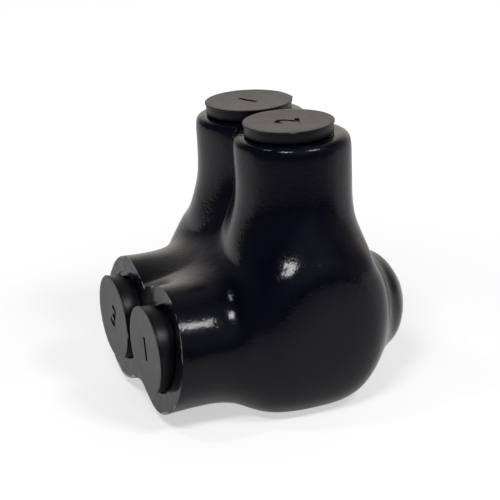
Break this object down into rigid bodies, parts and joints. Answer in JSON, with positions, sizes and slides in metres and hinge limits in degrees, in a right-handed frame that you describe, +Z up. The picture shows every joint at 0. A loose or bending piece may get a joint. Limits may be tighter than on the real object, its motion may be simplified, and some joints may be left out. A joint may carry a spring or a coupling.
{
  "type": "splice connector",
  "caption": "Insulated splice connector with a dipped vinyl jacket, two capped screw towers, two plugged wire sleeves and a metal block inside.",
  "frame": {"origin": "on the flat underside, below the midpoint between the two screw axes", "axes": "+Z up along the set screws and the towers, -Y towards the wire sleeves, X across from one wire to the other"},
  "size_m": [0.0602, 0.0619, 0.0633],
  "materials": {
    "dipped_vinyl": "glossy soft dip coating",
    "moulded_rubber": "matte moulded",
    "plated_aluminium": "tin plated, satin",
    "screw_aluminium": "bare machined"
  },
  "bodies": {
    "housing": {"jacket": "dipped_vinyl", "terminal_block": "plated_aluminium"},
    "screw_1": {"set_screw_1": "screw_aluminium"},
    "screw_2": {"set_screw_2": "screw_aluminium"},
    "cap_1": {"screw_cap_1": "moulded_rubber"},
    "cap_2": {"screw_cap_2": "moulded_rubber"},
    "plug_1": {"wire_plug_1": "moulded_rubber"},
    "plug_2": {"wire_plug_2": "moulded_rubber"}
  },
  "joints": [
    {"name": "screw_1_travel", "type": "slide", "parent": "housing", "child": "screw_1", "axis": [0, 0, 1], "range_m": [-0.012, 0.004]},
    {"name": "screw_2_travel", "type": "slide", "parent": "housing", "child": "screw_2", "axis": [0, 0, 1], "range_m": [-0.012, 0.004]},
    {"name": "cap_1_pull", "type": "slide", "parent": "housing", "child": "cap_1", "axis": [0, 0, 1], "range_m": [0, 0.012]},
    {"name": "cap_2_pull", "type": "slide", "parent": "housing", "child": "cap_2", "axis": [0, 0, 1], "range_m": [0, 0.012]},
    {"name": "plug_1_pull", "type": "slide", "parent": "housing", "child": "plug_1", "axis": [0, -1, 0], "range_m": [0, 0.015]},
    {"name": "plug_2_pull", "type": "slide", "parent": "housing", "child": "plug_2", "axis": [0, -1, 0], "range_m": [0, 0.015]}
  ]
}
